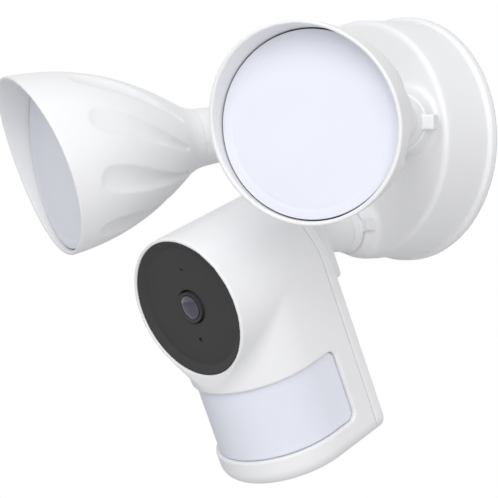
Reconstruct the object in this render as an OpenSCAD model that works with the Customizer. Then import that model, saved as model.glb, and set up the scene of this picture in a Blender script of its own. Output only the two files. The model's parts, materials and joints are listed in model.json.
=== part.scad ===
/* [Base] */
// Radius of the wall flange
flange_r = 65; // [64.8:0.2:70]
// Thickness of the wall flange
flange_t = 4.5; // [3:0.5:7]
// Radius of the drum where it meets the flange
drum_back_r = 63; // [62.6:0.1:63.2]
// Radius of the drum's front edge
drum_front_r = 62.6; // [61:0.2:62.8]
// Distance from the wall to the drum's front face
base_depth = 38; // [34:0.5:46]
// Wall of the moulded housings
wall_t = 3; // [2.5:0.1:3.5]
// Foam gasket between flange and wall
gasket_t = 1.5; // [1:0.1:2.5]
// Radius of the hollow fillet between flange and drum
fillet_r = 1; // [0.6:0.1:1.1]

/* [Wall bracket] */
// Radius of the steel wall bracket
bracket_r = 57.4; // [57:0.1:58]
// Thickness of the bracket's sheet
bracket_t = 2; // [1.5:0.1:2.5]
// Distance between the junction box slots
box_spacing = 88.9; // [83:0.1:92]
// Length of a junction box slot
slot_len = 10; // [8:0.5:12]
// Radius of the screw holes and half the width of the slots
bracket_hole_r = 2.5; // [2:0.1:3]
// Circle of the four wall screw holes
wall_pcd = 76; // [66:1:80]
// Radius of the hole for the house wiring
wiring_hole_r = 16; // [12:0.5:18]

/* [Ball joints] */
// Sideways place of the lamp bosses on the drum face
boss_x = 37; // [35:0.5:38]
// Height of the lamp bosses above the drum's centre
boss_z = 9; // [6:0.5:12]
// Height of the camera boss
camera_boss_z = -48.5; // [-49:0.5:-46]
// Angle of the lamp bosses away from straight ahead
boss_yaw = 24; // [15:1:28]
// Length of a lamp boss
boss_len = 18; // [17:0.5:20]
// Radius of a boss at the drum face
boss_r = 18; // [17:0.5:19]
// Radius of the ball at the end of a lamp arm
ball_r = 9; // [8.6:0.1:9.2]
// Thickness of the ball's plastic seats
seat_t = 1.5; // [1.2:0.1:1.7]
// Gap between spherical faces that slide
ball_gap = 0.25; // [0.2:0.01:0.3]
// Radius of a lock ring at its back edge
ring_r = 14.2; // [14:0.1:14.6]
// Radius of a lock ring at its front edge
ring_front_r = 13.2; // [13:0.1:13.8]
// Depth of a lock ring
ring_t = 7.5; // [7:0.1:8]
// Half angle of the opening in a lock ring
ring_opening = 52; // [50:1:54]
// Size of the camera's ball joint against a lamp's
camera_joint = 0.8; // [0.78:0.01:0.84]

/* [Lamps] */
// Turn of the right lamp away from straight ahead
right_yaw = 24.6; // [12:0.1:30]
// Turn of the left lamp away from straight ahead
left_yaw = 22.5; // [12:0.1:30]
// Downward aim of the right lamp
right_pitch = -0.6; // [-12:0.1:10]
// Downward aim of the left lamp
left_pitch = -9.7; // [-12:0.1:10]
// Distance from the ball to the end of the arm
arm_len = 55; // [52:0.5:66]
// Radius of a lamp arm where it meets the hood
arm_r = 15.9; // [15.4:0.1:16.4]
// Radius of the hood's rim
rim_r = 49.2; // [48:0.2:54]
// Length of the hood along its top
hood_top = 93; // [90:0.5:98]
// Length of the hood along its underside
hood_bottom = 74.5; // [74:0.5:78]
// Wall of the hood
hood_wall = 5; // [4.8:0.1:5.2]
// How fast the hood opens behind its rim
hood_power = 2.3; // [2.2:0.05:2.4]
// Radius of the curve that the rim follows seen from the side
rim_curve_r = 500; // [300:10:900]
// Number of flutes round the hood
flutes = 9; // [7:2:9]
// Distance from the hood's neck to the front of the diffuser
diffuser_at = 72.6; // [71:0.1:73]
// Thickness of the diffuser
diffuser_t = 3.4; // [3:0.1:4]

/* [Camera head] */
// Radius of the camera's arm where it meets the head
camera_arm_r = 12; // [11:0.1:12.6]
// Distance from the camera's ball to the back of its head
camera_arm_len = 57.5; // [55:0.5:66]
// Downward tilt of the head on its arm
head_tilt = 25; // [20:1:28]
// Half the width of the head
head_r = 38; // [37:0.2:42]
// Depth of the head from its back to the front of its chin
head_depth = 72; // [70:0.5:78]
// Distance from the arm's axis down to the bottom of the head
head_drop = 110; // [108:1:120]
// Upward tilt of the camera's face against the head
face_tilt = 5; // [3:0.5:7]
// Height of the face's centre below the arm's axis
face_drop = 8; // [7:0.5:10]
// Distance from the back of the head to the centre of its face
face_at = 69; // [67:0.5:72]
// Wall of the head's upper part
barrel_wall = 2.4; // [2:0.1:3]
// Wall of the head's lower part
chin_wall = 5.5; // [5:0.1:6]
// Width of the white edge round the dark face
face_edge = 1.7; // [1.4:0.1:2.2]
// Thickness of the rear cover
rear_t = 6; // [5:0.2:7]
// Half width of the pad that carries the arm
pad_w = 20; // [17:0.5:22]
// Depth of the pad behind the head
pad_t = 19.5; // [17:0.5:22]
// Top of the motion window below the arm's axis
window_top = -55; // [-57:0.5:-54]
// Bottom of the motion window below the arm's axis
window_bottom = -95; // [-97:0.5:-90]
// How far the motion window reaches to the back
window_back = 18; // [16:0.5:24]
// Depth of the motion window's face below the shell
window_sink = 2; // [1:0.1:2.2]

/* [Fits] */
// Clearance between still pieces
fit = 0.2; // [0.1:0.05:0.3]
// Radial clearance of turning pieces on their shafts
run = 0.08; // [0.04:0.01:0.1]
// Radius of the inner leads
lead_r = 1.5; // [1:0.1:1.8]

/* [Hidden] */
$fn = 64;

white = "#f2f2f3";
pale_blue = "#e6e9f5";
dark = "#444446";
black = "#1d1d1f";
steel = "#b9bcc0";
board_green = "#2f6b45";
brass = "#c8a24a";
nylon = "#d8d8d0";

eps = 0.01;
far = 400;

// Shells round a ball, from the ball outwards
seat_in = ball_r + ball_gap;
seat_out = seat_in + seat_t;
socket_r = seat_out + ball_gap;
neck_r = ball_r / 2;
bore_r = lead_r + 1;
ball_off = boss_len - 2;
ring_back = boss_len - ball_off;
ring_front = ring_back + ring_t;
ring_face_r = norm([ring_front_r, ring_front]);
skirt_gap = 0.4;
spigot_r = ring_front_r - 0.7;
spigot_len = 3.5;
boss_tip_r = 15;
ring_gap = 0.6;
lug_w = 8;
lug_t = 2.2;
lug_reach = 5.6;
lug_lift = 3;
lug_back = 5.5;

// Places of the three balls
left_boss = [-boss_x, -base_depth, boss_z];
right_boss = [boss_x, -base_depth, boss_z];
camera_boss = [0, -base_depth, camera_boss_z];
function ball_at(side) = [
  side * (boss_x + ball_off * sin(boss_yaw)),
  -base_depth - ball_off * cos(boss_yaw),
  boss_z
];
camera_boss_len = boss_len * camera_joint - 6.7;
camera_ball_off = camera_boss_len - ring_back * camera_joint;
camera_ball = [0, -base_depth - camera_ball_off, camera_boss_z];
head_at = camera_ball - [0, camera_arm_len, 0];

// Base
front_in = base_depth - wall_t;
drum_edge_r = 3;
flange_edge_r = 0.6;
flange_top = gasket_t + flange_t;
drum_in_r = drum_front_r - wall_t;
board_w = 78;
board_h = 44;
board_t = 1.6;
board_drop = 13;
board_z = 2;
board_at = front_in - board_drop;
post_r = 3.2;
post_x = board_w / 2 - 5;
post_z = board_h / 2 - 5;
screw_r = 1.25;
ear_w = 12;
ear_t = 2;
ear_len = 20;
ear_gap = 1.2;
ear_at = drum_in_r - ear_gap - ear_t;
lock_at = 16;
lock_turn = -24;
lock_r = 1.6;
lock_head_r = 3.2;
lock_head_t = 1.8;
capacitor_r = 4;
capacitor_h = 9;

// Lamp
nipple_r = 6;
floor_t = 5;
nut_r = 10;
nut_t = 6;
hood_neck_r = arm_r + 0.5;
pocket_at = 68;
pocket_r = rim_r - 3.4;
rim_wall = 1.6;
ledge_w = 4;
seal_t = 1.2;
seal_w = 1.3;
sink_r = 38;
sink_at = 55;
sink_t = 5;
post_in = nut_r + 1;
post_out = post_in + 3;
fin_t = 2;
fin_len = 12;
fin_r = 33;
fins = 12;
led_r = 36;
led_t = 1.6;
chip_w = 3.5;
chip_t = 0.9;
led_screw_circle = 31;
// A flute's balls from its front to the neck: distance, radius, depth below the hood's surface and turn
flute_balls = [[57.5, 20, 1.7, -3], [30, 5, 1.6, -16.5], [8, 1.4, 1, -38]];
flute_turn = -90;
profile_steps = 20;
rim_drop = -(hood_top - hood_bottom) * rim_curve_r / (2 * rim_r);
rim_low = hood_bottom - pow(rim_r + rim_drop, 2) / (2 * rim_curve_r);

// Radius of the hood's outside at a distance from its neck
function hood_at(t) =
  hood_neck_r + (rim_r - hood_neck_r) * (1 - pow(1 - min(t, hood_top) / hood_top, hood_power));

// Slope of the hood's outside, and a point at a height over it along its normal
function hood_slope(t) =
  (rim_r - hood_neck_r) * hood_power / hood_top * pow(1 - t / hood_top, hood_power - 1);
function over_hood(t, lift) =
  [hood_at(t), 0, t] + lift * [1, 0, -hood_slope(t)] / norm([1, hood_slope(t)]);

// Centre of a flute's ball
function flute_point(ball) = let (p = over_hood(ball[0], ball[1] - ball[2]))
  [p[0] * cos(ball[3]), p[0] * sin(ball[3]), p[2]];

// Camera head
chin_f = head_depth - head_r;
chin_top = -12;
bottom_r = 10;
seal_gap = 0.8;
seal_in = 1.2;
face_r = head_r - face_edge;
face_t = 2;
face_sink = 3;
face_bevel = 4.5;
ledge_in = 27;
ledge_t = 2.5;
ledge_sink = face_sink + face_t + fit;
hole_up = 20;
hole_down = 18;
lens_r = 8.2;
lens_gap = 0.6;
lens_len = 15;
lens_proud = 1.2;
glass_r = 6.2;
glass_t = 5;
glass_dome = 14;
glass_proud = 1.2;
sensor_board_r = 32;
sensor_board_at = face_sink + lens_len;
infrared_r = 2.4;
infrared_h = 6;
board_post_r = 2.5;
board_post_circle = 29.5;
main_w = 44;
main_h = 98;
main_at = 20;
main_mid = -36;
window_t = 1.7;
window_corner = 5;
window_frame = 4;
window_gap = 0.3;
pad_top = 14;
pad_wall = 4;
pad_bottom = -33;
// Height on the pad where the arm's axis meets it
arm_foot = -pad_t * tan(head_tilt);
plug_f = 56;
plug_r = 6.5;
plug_t = 3.5;
plug_stem_r = 4;
button_r = 2;
button_len = 5;
button_travel = 0.8;
switch_w = 11;
switch_t = 8;
chin_floor = -head_drop + chin_wall;
rear_screw_r = 1.4;
rear_head_r = 2.8;
rear_head_t = 1.8;
rear_sink = 0.2;
rear_spots = [[-30, -20], [30, -20], [-30, -98], [30, -98]];
speaker_r = 13;
speaker_t = 7;
speaker_f = 26;

// Points of a round stretch of an outline
function arc(c, r, from, to, n = 8) = [
  for (i = [0:n]) let (a = from + (to - from) * i / n) c + r * [cos(a), sin(a)]
];

// Turn so that local z runs out of the wall and local y runs up
module aim(p, yaw = 0, pitch = 0) {
  translate(p) rotate([0, 0, yaw]) rotate([90 - pitch, 0, 0]) children();
}

module on_wall() {
  aim([0, 0, 0]) children();
}

module on_ball(side) {
  aim(ball_at(side), side * boss_yaw) children();
}

module on_lamp(side) {
  aim(ball_at(side), side > 0 ? right_yaw : -left_yaw, side > 0 ? right_pitch : left_pitch) children();
}

module on_hood(side) {
  on_lamp(side) translate([0, 0, arm_len]) children();
}

module on_camera() {
  aim(camera_ball) children();
}

module on_head() {
  aim(head_at, 0, -head_tilt) children();
}

module on_face() {
  on_head() translate([0, -face_drop, face_at]) rotate([-face_tilt, 0, 0]) children();
}

module box(low, high) {
  translate(low) cube(high - low);
}

module tube(r_out, r_in, h) {
  difference() {
    cylinder(r = r_out, h = h);
    translate([0, 0, -eps]) cylinder(r = r_in, h = h + 2 * eps);
  }
}

// A lead through its points, round at the bends
module lead(points) {
  for (i = [0:len(points) - 2]) {
    v = points[i + 1] - points[i];
    translate(points[i]) rotate([0, acos(v[2] / norm(v)), atan2(v[1], v[0])]) cylinder(r = lead_r, h = norm(v));
    if (i > 0) translate(points[i]) sphere(r = lead_r + 0.05);
  }
}

// Base pieces
module base_gasket() {
  color(dark) on_wall() tube(flange_r - 2, bracket_r + 1, gasket_t);
}

module wall_bracket() {
  color(steel) on_wall() difference() {
    union() {
      cylinder(r = bracket_r, h = bracket_t);
      rotate(lock_turn) for (s = [-1, 1])
        box([-ear_w / 2, s > 0 ? ear_at - ear_t : -ear_at, 0], [ear_w / 2, s > 0 ? ear_at : -ear_at + ear_t, ear_len]);
    }
    translate([0, 0, -eps]) cylinder(r = wiring_hole_r, h = bracket_t + 2 * eps);
    for (a = [45:90:315])
      rotate(a) translate([wall_pcd / 2, 0, -eps]) cylinder(r = bracket_hole_r, h = bracket_t + 2 * eps);
    for (s = [-1, 1]) translate([s * box_spacing / 2, 0, -eps]) {
      for (e = [-1, 1])
        translate([e * (slot_len / 2 - bracket_hole_r), 0, 0]) cylinder(r = bracket_hole_r, h = bracket_t + 2 * eps);
      box([-slot_len / 2 + bracket_hole_r, -bracket_hole_r, 0],
          [slot_len / 2 - bracket_hole_r, bracket_hole_r, bracket_t + 2 * eps]);
    }
    rotate(lock_turn) translate([0, -ear_at + ear_t + 1, lock_at]) rotate([90, 0, 0])
      cylinder(r = lock_r + run, h = ear_t + 2);
  }
}

module housing_outline() {
  polygon(concat(
    [[drum_in_r, gasket_t], [flange_r, gasket_t]],
    arc([flange_r - flange_edge_r, flange_top - flange_edge_r], flange_edge_r, 0, 90, 4),
    arc([drum_back_r + fillet_r, flange_top + fillet_r], fillet_r, 270, 180),
    arc([drum_front_r - drum_edge_r, base_depth - drum_edge_r], drum_edge_r, 0, 90),
    [[0, base_depth], [0, front_in], [drum_in_r, front_in]]
  ));
}

// A boss with its threaded spigot, along the boss axis
module boss_form(len, k) {
  rotate_extrude() polygon([
    [0, -len], [boss_r * k, -len], [boss_r * k, 0], [boss_tip_r * k, len - fit],
    [spigot_r * k, len - fit], [spigot_r * k, len + spigot_len * k], [0, len + spigot_len * k]
  ]);
}

module boss_hollow(off, k) {
  translate([0, 0, off]) {
    sphere(r = socket_r * k);
    cylinder(r = (socket_r + fit) * k, h = far);
    translate([0, 0, -far]) cylinder(r = seat_in * k / 2, h = far);
  }
}

module base_housing() {
  color(white) difference() {
    union() {
      on_wall() rotate_extrude($fn = 128) housing_outline();
      intersection() {
        union() {
          aim(left_boss, -boss_yaw) boss_form(boss_len, 1);
          aim(right_boss, boss_yaw) boss_form(boss_len, 1);
          aim(camera_boss) boss_form(camera_boss_len, camera_joint);
        }
        on_wall() translate([0, 0, front_in]) cylinder(r = drum_front_r - 0.6, h = base_depth, $fn = 128);
      }
      on_wall() for (x = [-1, 1], y = [-1, 1])
        translate([x * post_x, board_z + y * post_z, board_at]) cylinder(r = post_r, h = board_drop + 1);
    }
    aim(left_boss, -boss_yaw) boss_hollow(ball_off, 1);
    aim(right_boss, boss_yaw) boss_hollow(ball_off, 1);
    aim(camera_boss) boss_hollow(camera_ball_off, camera_joint);
    on_wall() for (x = [-1, 1], y = [-1, 1])
      translate([x * post_x, board_z + y * post_z, board_at - eps]) cylinder(r = screw_r + fit, h = board_drop - 3);
    on_wall() rotate(lock_turn) translate([0, -drum_in_r + 2, lock_at]) rotate([90, 0, 0]) {
      cylinder(r = lock_r + run, h = 2 * wall_t + 4);
      translate([0, 0, wall_t + 2]) cylinder(r = lock_head_r + fit, h = 2 * wall_t);
    }
  }
}

module base_lock_screw() {
  head_y = drum_in_r + wall_t;
  color(steel) on_wall() rotate(lock_turn) translate([0, -head_y, lock_at]) rotate([-90, 0, 0]) difference() {
    union() {
      translate([0, 0, -lock_head_t]) cylinder(r = lock_head_r, h = lock_head_t);
      cylinder(r = lock_r, h = head_y - ear_at + ear_t + 1);
    }
    translate([0, 0, -lock_head_t - eps]) cylinder(r = 1.5, h = 1.2, $fn = 6);
  }
}

module driver_board() {
  color(board_green) on_wall() difference() {
    box([-board_w / 2, board_z - board_h / 2, board_at - board_t], [board_w / 2, board_z + board_h / 2, board_at]);
    for (x = [-1, 1], y = [-1, 1])
      translate([x * post_x, board_z + y * post_z, board_at - board_t - eps])
        cylinder(r = screw_r + run, h = board_t + 2 * eps);
  }
}

module driver_board_screws() {
  color(steel) on_wall() for (x = [-1, 1], y = [-1, 1])
    translate([x * post_x, board_z + y * post_z, board_at - board_t]) {
      translate([0, 0, -1.6]) cylinder(r = 2.3, h = 1.6);
      cylinder(r = screw_r, h = 9);
    }
}

module transformer() {
  color(brass) on_wall() {
    box([-12, board_z - 9, board_at], [12, board_z + 9, board_at + 10]);
    box([-9, board_z - 12, board_at + 2], [9, board_z + 12, board_at + 8]);
  }
}

module capacitors() {
  color(black) on_wall() for (p = [[-0.36, -0.14], [-0.26, 0.18], [0.26, -0.18]])
    translate([p[0] * board_w, board_z + p[1] * board_h, board_at]) cylinder(r = capacitor_r, h = capacitor_h);
}

module terminal_block() {
  color(white) on_wall() difference() {
    box([-30, board_z - 19, board_at - board_t - 10], [-6, board_z - 9, board_at - board_t]);
    for (x = [-26, -18, -10])
      translate([x, board_z - 20, board_at - board_t - 5]) rotate([-90, 0, 0]) cylinder(r = 1.8, h = 8);
  }
}

module base_leads() {
  start = board_at + lead_r;
  color(black) on_wall() {
    for (s = [-1, 1])
      lead([[s * (board_w / 2 - 11), board_z + 13, start], [s * (board_w / 2 - 13), board_z + 13, front_in - 6],
            [s * (boss_x - (wall_t + 4) * tan(boss_yaw)), boss_z, front_in - 4],
            [s * (boss_x + 2 * sin(boss_yaw)), boss_z, base_depth + 2 * cos(boss_yaw)]]);
    lead([[0, board_z - 16, start], [0, camera_boss_z + 8, front_in - 7],
          [0, camera_boss_z, front_in - 4], [0, camera_boss_z, front_in - 0.5]]);
  }
}

// Ball joint pieces, with the ball's centre at the origin
module lock_ring_form() {
  difference() {
    union() {
      intersection() {
        union() {
          translate([0, 0, ring_back + ring_gap]) cylinder(r1 = ring_r, r2 = ring_front_r, h = ring_t - ring_gap);
          translate([0, 0, ring_back]) cylinder(r = ring_r - ring_gap, h = ring_gap + eps);
        }
        sphere(r = ring_face_r);
      }
      intersection() {
        union() {
          box([0, -lug_w / 2, ring_back], [far, lug_w / 2, ring_back + lug_t]);
          box([ring_r + lug_lift, -lug_w / 2, ring_back - lug_back], [far, lug_w / 2, ring_back + lug_t]);
        }
        translate([0, 0, -far / 2]) cylinder(r = ring_r + lug_reach, h = far);
      }
    }
    translate([0, 0, -eps]) cylinder(r = spigot_r + run, h = ring_back + spigot_len + fit);
    sphere(r = socket_r);
    cylinder(r1 = 0, r2 = far * tan(ring_opening), h = far);
  }
}

module ball_seat_form() {
  cut = seat_in * cos(50);
  difference() {
    intersection() {
      sphere(r = seat_out);
      translate([0, 0, -far - cut]) cylinder(r = far, h = far);
    }
    sphere(r = seat_in);
    translate([0, 0, -far]) cylinder(r = bore_r, h = far);
  }
}

module ball_liner_form() {
  low = seat_in * 0.22;
  high = seat_in * 0.65;
  intersection() {
    difference() {
      sphere(r = seat_out);
      sphere(r = seat_in);
    }
    translate([0, 0, low]) cylinder(r = far, h = high - low);
  }
}

// An arm's ball, neck and the start of its tube
module arm_root(end, end_r) {
  skirt = ring_face_r + skirt_gap;
  sphere(r = ball_r);
  cylinder(r = neck_r, h = skirt + 2);
  difference() {
    translate([0, 0, ring_back]) cylinder(r1 = ring_front_r - 0.4, r2 = end_r, h = end - ring_back);
    sphere(r = skirt);
  }
}

module lamp_arm(side) {
  color(white) on_lamp(side) difference() {
    union() {
      arm_root(arm_len, arm_r);
      translate([0, 0, arm_len - floor_t]) cylinder(r = nipple_r, h = 2 * floor_t + nut_t + 1);
    }
    translate([0, 0, -ball_r - eps]) cylinder(r = bore_r, h = far);
    translate([0, 0, ring_face_r + 6]) tube(ring_front_r - wall_t, nipple_r + 1.5, arm_len - ring_face_r - 9);
  }
}

// Outline of the hood's solid outside, or of the hollow behind its ledge
module hood_outline(inset, low, high) {
  polygon(concat(
    [[0, low]],
    [for (i = [0:profile_steps]) let (t = low + (high - low) * i / profile_steps) [hood_at(t) - inset, t]],
    [[0, high]]
  ));
}

// A flute's cutter: balls along it, joined by the cones that touch them
module flute() {
  for (i = [0:len(flute_balls) - 2]) {
    front_r = flute_balls[i][1];
    back_r = flute_balls[i + 1][1];
    a = flute_point(flute_balls[i]);
    v = flute_point(flute_balls[i + 1]) - a;
    lean = asin((front_r - back_r) / norm(v));
    start = front_r * sin(lean);
    run_on = norm(v) + back_r * sin(lean) - start;
    translate(a) {
      sphere(r = front_r + 0.02);
      rotate([0, acos(v[2] / norm(v)), atan2(v[1], v[0])]) translate([0, 0, start])
        cylinder(r1 = front_r * cos(lean), r2 = back_r * cos(lean), h = run_on);
    }
  }
}

module lamp_hood(side) {
  color(white) on_hood(side) difference() {
    rotate_extrude($fn = 128) hood_outline(0, 0, hood_top + 1);
    rotate_extrude($fn = 128) intersection() {
      hood_outline(hood_wall, floor_t, pocket_at + eps);
      square([pocket_r - ledge_w, far]);
    }
    translate([0, 0, pocket_at]) cylinder(r1 = pocket_r, r2 = rim_r - rim_wall, h = hood_top + 2 - pocket_at);
    translate([0, 0, -eps]) cylinder(r = nipple_r + run, h = floor_t + 2 * eps);
    translate([0, rim_drop, rim_low + rim_curve_r]) rotate([0, 90, 0])
      cylinder(r = rim_curve_r, h = 4 * rim_r, center = true, $fn = 256);
    for (i = [0:flutes - 1]) rotate(flute_turn + 360 * i / flutes) flute();
  }
}

module lamp_nut(side) {
  color(steel) on_hood(side) translate([0, 0, floor_t]) difference() {
    cylinder(r = nut_r, h = nut_t, $fn = 6);
    translate([0, 0, -eps]) cylinder(r = nipple_r + run, h = nut_t + 2 * eps);
  }
}

module heat_sink(side) {
  color(steel) on_hood(side) difference() {
    union() {
      translate([0, 0, floor_t]) tube(post_out, post_in, sink_at - floor_t);
      translate([0, 0, sink_at]) cylinder(r = sink_r, h = sink_t);
      for (i = [0:fins - 1]) rotate(360 * i / fins)
        box([post_in + 1, -fin_t / 2, sink_at - fin_len], [fin_r, fin_t / 2, sink_at + eps]);
    }
    translate([0, 0, sink_at - eps]) cylinder(r = bore_r, h = sink_t + 2 * eps);
    for (i = [0:2]) rotate(120 * i) translate([led_screw_circle, 0, sink_at + 1])
      cylinder(r = screw_r + run, h = sink_t);
  }
}

module led_board(side) {
  color(white) on_hood(side) translate([0, 0, sink_at + sink_t]) difference() {
    cylinder(r = led_r, h = led_t);
    for (i = [0:2]) rotate(120 * i) translate([led_screw_circle, 0, -eps])
      cylinder(r = screw_r + run, h = led_t + 2 * eps);
  }
}

module led_chips(side) {
  color("#f3e27a") on_hood(side) translate([0, 0, sink_at + sink_t + led_t])
    for (ring = [[led_r / 3, 6], [led_r * 2 / 3, 12]], i = [0:ring[1] - 1])
      rotate(15 + 360 * i / ring[1]) translate([ring[0], 0, chip_t / 2]) cube([chip_w, chip_w, chip_t], center = true);
}

module led_screws(side) {
  color(steel) on_hood(side) translate([0, 0, sink_at + sink_t + led_t])
    for (i = [0:2]) rotate(120 * i) translate([led_screw_circle, 0, 0]) {
      cylinder(r = 2.4, h = 1.5);
      translate([0, 0, -4]) cylinder(r = screw_r, h = 4 + eps);
    }
}

module diffuser_seal(side) {
  top = diffuser_at - pocket_at - 0.4;
  low = pocket_r - ledge_w + 0.5;
  color(black) on_hood(side) translate([0, 0, pocket_at]) rotate_extrude($fn = 128)
    polygon([[low, 0], [pocket_r, 0], [pocket_r, top], [pocket_r - seal_w, top], [pocket_r - seal_w, seal_t], [low, seal_t]]);
}

module diffuser(side) {
  r = pocket_r - seal_w - 0.1;
  hollow = r - 6;
  color(pale_blue) on_hood(side) translate([0, 0, diffuser_at - diffuser_t]) difference() {
    cylinder(r = r, h = diffuser_t);
    translate([0, 0, -eps]) cylinder(r = hollow, h = diffuser_t - 2);
    translate([0, 0, diffuser_t - 0.4]) tube(hollow - 1, hollow - 1.8, 1);
  }
}

module lamp_lead(side) {
  color(black) on_lamp(side) translate([0, 0, -ball_r + 2])
    cylinder(r = lead_r, h = arm_len + sink_at + sink_t + ball_r - 2);
}

module lock_ring(side) {
  color(white) on_ball(side) rotate(side > 0 ? 0 : 180) lock_ring_form();
}

module ball_seat(side) {
  color(nylon) on_lamp(side) ball_seat_form();
}

module ball_liner(side) {
  color(nylon) on_lamp(side) ball_liner_form();
}

// Camera head: the outer form drawn in by a wall at the barrel and at the chin
module head_form(barrel_in, chin_in) {
  r = head_r - chin_in;
  bottom = -head_drop + chin_in;
  edge = bottom_r - chin_in;
  on_face() translate([0, 0, -face_at - 20]) cylinder(r = head_r - barrel_in, h = face_at + 20, $fn = 128);
  on_head() intersection() {
    union() {
      translate([0, bottom, chin_f]) rotate([-90, 0, 0]) cylinder(r = r, h = chin_top - bottom, $fn = 128);
      box([-r, bottom, -40], [r, chin_top, chin_f]);
    }
    union() {
      box([-far, bottom + edge, -far], [far, far, far]);
      box([-r + edge, bottom, -far], [r - edge, far, far]);
      for (s = [-1, 1]) translate([s * (r - edge), bottom + edge, -far]) cylinder(r = edge, h = 2 * far);
    }
  }
}

// Everything between two depths of the head
module head_slab(low, high) {
  on_head() box([-far, -far, low], [far, far, high]);
}

// Side outline of the motion window, drawn in all round
module window_slot(inset) {
  back = window_back + inset;
  low = window_bottom + inset;
  high = window_top - inset;
  c = window_corner - inset;
  on_head() rotate([0, -90, 0]) translate([0, 0, -far / 2]) linear_extrude(far) {
    translate([back + c, low]) square([far, high - low]);
    translate([back, low + c]) square([far, high - low - 2 * c]);
    translate([back + c, low + c]) circle(r = c);
    translate([back + c, high - c]) circle(r = c);
  }
}

// The head's lower part as a solid column of a smaller half width
module chin_column(inset) {
  r = head_r - inset;
  on_head() {
    translate([0, window_bottom - 5, chin_f]) rotate([-90, 0, 0])
      cylinder(r = r, h = window_top - window_bottom + 10, $fn = 128);
    box([-r, window_bottom - 5, 0], [r, window_top + 5, chin_f]);
  }
}

module camera_shell() {
  sink = window_sink + window_t + fit;
  color(white) difference() {
    union() {
      difference() {
        head_form(0, 0);
        intersection() {
          head_form(barrel_wall, chin_wall);
          union() {
            head_slab(-far, face_at - 12);
            on_head() box([-far, -far, 0], [far, -face_drop - head_r - 6, far]);
          }
        }
      }
      intersection() {
        on_head() for (p = rear_spots) translate([p[0], p[1], 0]) cylinder(r = 4.2, h = rear_t + 22);
        head_form(1, 1);
      }
    }
    head_slab(-far, rear_t + fit);
    intersection() {
      head_form(seal_in, seal_in);
      head_slab(-far, rear_t + seal_gap);
    }
    on_face() {
      translate([0, 0, -ledge_sink]) cylinder(r = face_r, h = far);
      translate([0, 0, -40]) cylinder(r = ledge_in, h = far);
      difference() {
        translate([0, 0, -far]) cylinder(r = head_r - barrel_wall, h = far - ledge_sink - ledge_t);
        for (i = [0:2]) rotate(30 + 120 * i)
          translate([board_post_circle, 0, -sensor_board_at]) cylinder(r = board_post_r, h = lens_len);
      }
    }
    difference() {
      window_slot(0);
      chin_column(sink);
    }
    intersection() {
      window_slot(window_frame);
      on_head() box([-far, -far, chin_f - 14], [far, far, far]);
      chin_column(0);
    }
    on_head() {
      for (p = rear_spots) translate([p[0], p[1], 0]) cylinder(r = rear_screw_r + run, h = rear_t + 14);
      translate([0, -head_drop - 1, plug_f]) rotate([-90, 0, 0]) cylinder(r = plug_stem_r + run, h = chin_wall + 2);
      for (x = [-6, 0, 6], z = [-6, 0, 6]) translate([x, -head_drop - 1, speaker_f + z])
        rotate([-90, 0, 0]) cylinder(r = 1, h = chin_wall + 2);
    }
  }
}

module camera_shell_seal() {
  color(black) intersection() {
    difference() {
      head_form(seal_in + fit, seal_in + fit);
      head_form(barrel_wall, barrel_wall);
    }
    head_slab(rear_t, rear_t + seal_gap);
  }
}

module camera_rear_cover() {
  color(white) difference() {
    union() {
      intersection() {
        head_form(0, 0);
        head_slab(0, rear_t);
      }
      on_head() {
        box([-pad_w, pad_bottom, -pad_t], [pad_w, pad_top, eps]);
        for (x = [-1, 1], y = [-1, 1])
          translate([x * (main_w / 2 - 5), main_mid + y * (main_h / 2 - 5), 0]) cylinder(r = 3, h = main_at);
      }
    }
    on_head() {
      for (p = rear_spots) translate([p[0], p[1], -eps]) {
        cylinder(r = rear_screw_r + run, h = far);
        cylinder(r = rear_head_r + fit, h = rear_sink + rear_head_t + fit);
      }
      for (s = [-1, 1]) translate([s * 6.5, arm_foot, -pad_t - eps]) cylinder(r = rear_screw_r + run, h = far);
      box([-pad_w + pad_wall, pad_bottom + pad_wall, -pad_t + pad_wall], [pad_w - pad_wall, pad_top - pad_wall, rear_t + eps]);
    }
    on_camera() cylinder(r = bore_r, h = far);
  }
}

module camera_arm() {
  color(white) difference() {
    on_camera() scale(camera_joint) difference() {
      union() {
        arm_root(0.9 * camera_arm_len, camera_arm_r / camera_joint);
        translate([0, 0, 0.9 * camera_arm_len - eps]) cylinder(r = camera_arm_r / camera_joint, h = far);
      }
      translate([0, 0, -ball_r - eps]) cylinder(r = bore_r / camera_joint, h = far);
    }
    head_slab(-pad_t, far);
    on_head() for (s = [-1, 1]) translate([s * 6.5, arm_foot, -pad_t - 10]) cylinder(r = rear_screw_r + run, h = 11);
  }
}

module camera_screws() {
  top = -pad_t + pad_wall;
  color(steel) on_head() {
    for (s = [-1, 1]) translate([s * 6.5, arm_foot, 0]) {
      translate([0, 0, top]) cylinder(r = rear_head_r, h = rear_head_t);
      translate([0, 0, -pad_t - 8]) cylinder(r = rear_screw_r, h = 8 + pad_wall + eps);
    }
    for (p = rear_spots) translate([p[0], p[1], rear_sink]) {
      cylinder(r = rear_head_r, h = rear_head_t);
      cylinder(r = rear_screw_r, h = rear_t + 12);
    }
  }
}

module camera_face() {
  r = face_r - fit;
  color(dark) on_face() difference() {
    translate([0, 0, -face_sink - face_t]) cylinder(r = r, h = face_sink + face_t - 0.6);
    translate([0, 0, -face_sink]) cylinder(r1 = r - face_bevel, r2 = r - 0.6, h = face_sink - 0.6 + eps);
    translate([0, 0, -far / 2]) cylinder(r = lens_r + lens_gap, h = far);
    translate([0, hole_up, -far / 2]) cylinder(r = 0.7, h = far);
    translate([0, -hole_down, -far / 2]) cylinder(r = 1, h = far);
  }
}

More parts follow.
